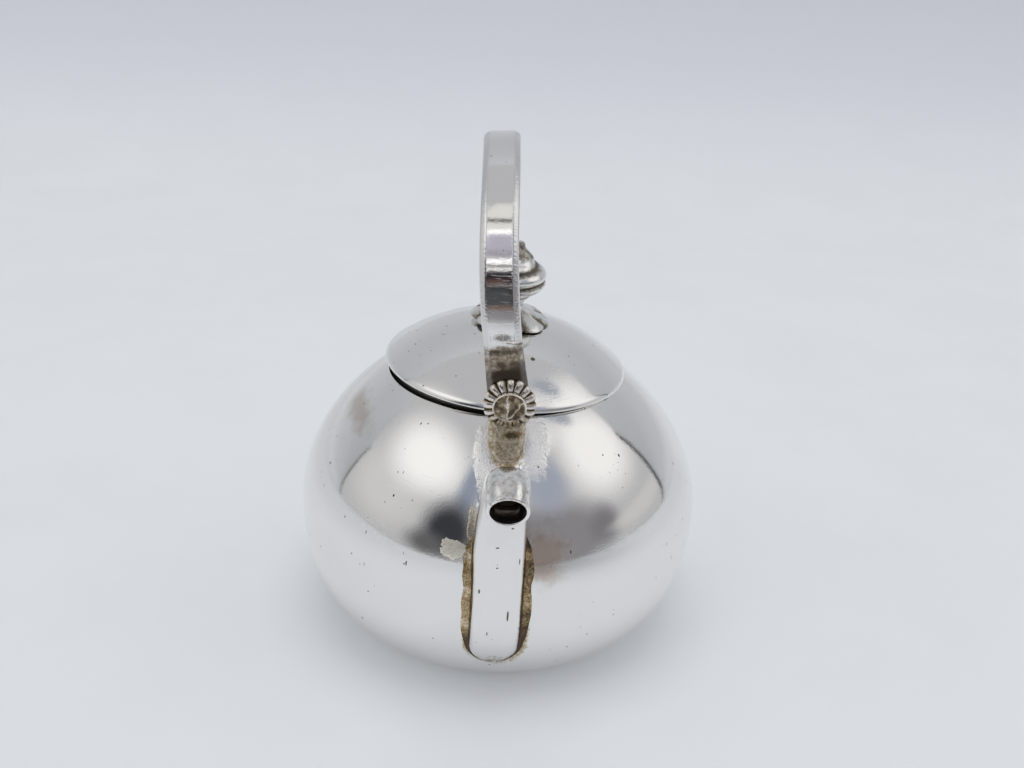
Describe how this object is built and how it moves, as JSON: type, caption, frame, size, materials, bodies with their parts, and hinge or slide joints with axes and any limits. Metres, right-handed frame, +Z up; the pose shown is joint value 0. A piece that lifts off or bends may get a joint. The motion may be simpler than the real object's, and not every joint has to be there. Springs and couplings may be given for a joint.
{
  "type": "miniature kettle",
  "caption": "Round-bellied miniature silver kettle with a curved spout, a riveted strap handle that swings over and a loose domed lid with a bud finial.",
  "frame": {"origin": "middle of the flat base, on the surface that the kettle stands on", "axes": "+Z up along the axis of the body, -Y towards the spout, X along the swing of the handle"},
  "size_m": [0.032, 0.0368, 0.0399],
  "materials": {
    "polished_silver": "hand polished silver with fine scratches",
    "dulled_silver": "worn silver with brown tarnish in the hollows",
    "inner_silver": "unpolished silver that has dulled"
  },
  "bodies": {
    "kettle": {"body_shell": "polished_silver", "base_disc": "polished_silver", "spout": "polished_silver", "front_lug": "dulled_silver", "front_rivet": "dulled_silver", "front_rosette": "dulled_silver", "rear_lug": "dulled_silver", "rear_rivet": "dulled_silver", "rear_rosette": "dulled_silver"},
    "handle": {"handle_strap": "polished_silver"},
    "lid": {"lid_dome": "polished_silver", "lid_collar": "inner_silver", "finial_petals": "dulled_silver", "finial_bud": "polished_silver", "finial_pin": "inner_silver", "finial_burr": "inner_silver"}
  },
  "joints": [
    {"name": "handle_swing", "type": "hinge", "parent": "kettle", "child": "handle", "pos_m": [0, 0, 0.02387], "axis": [0, 1, 0], "range_deg": [-103.5, 111.5]},
    {"name": "lid_lift", "type": "slide", "parent": "kettle", "child": "lid", "axis": [0, 0, 1], "range_m": [0, 0.006]}
  ]
}
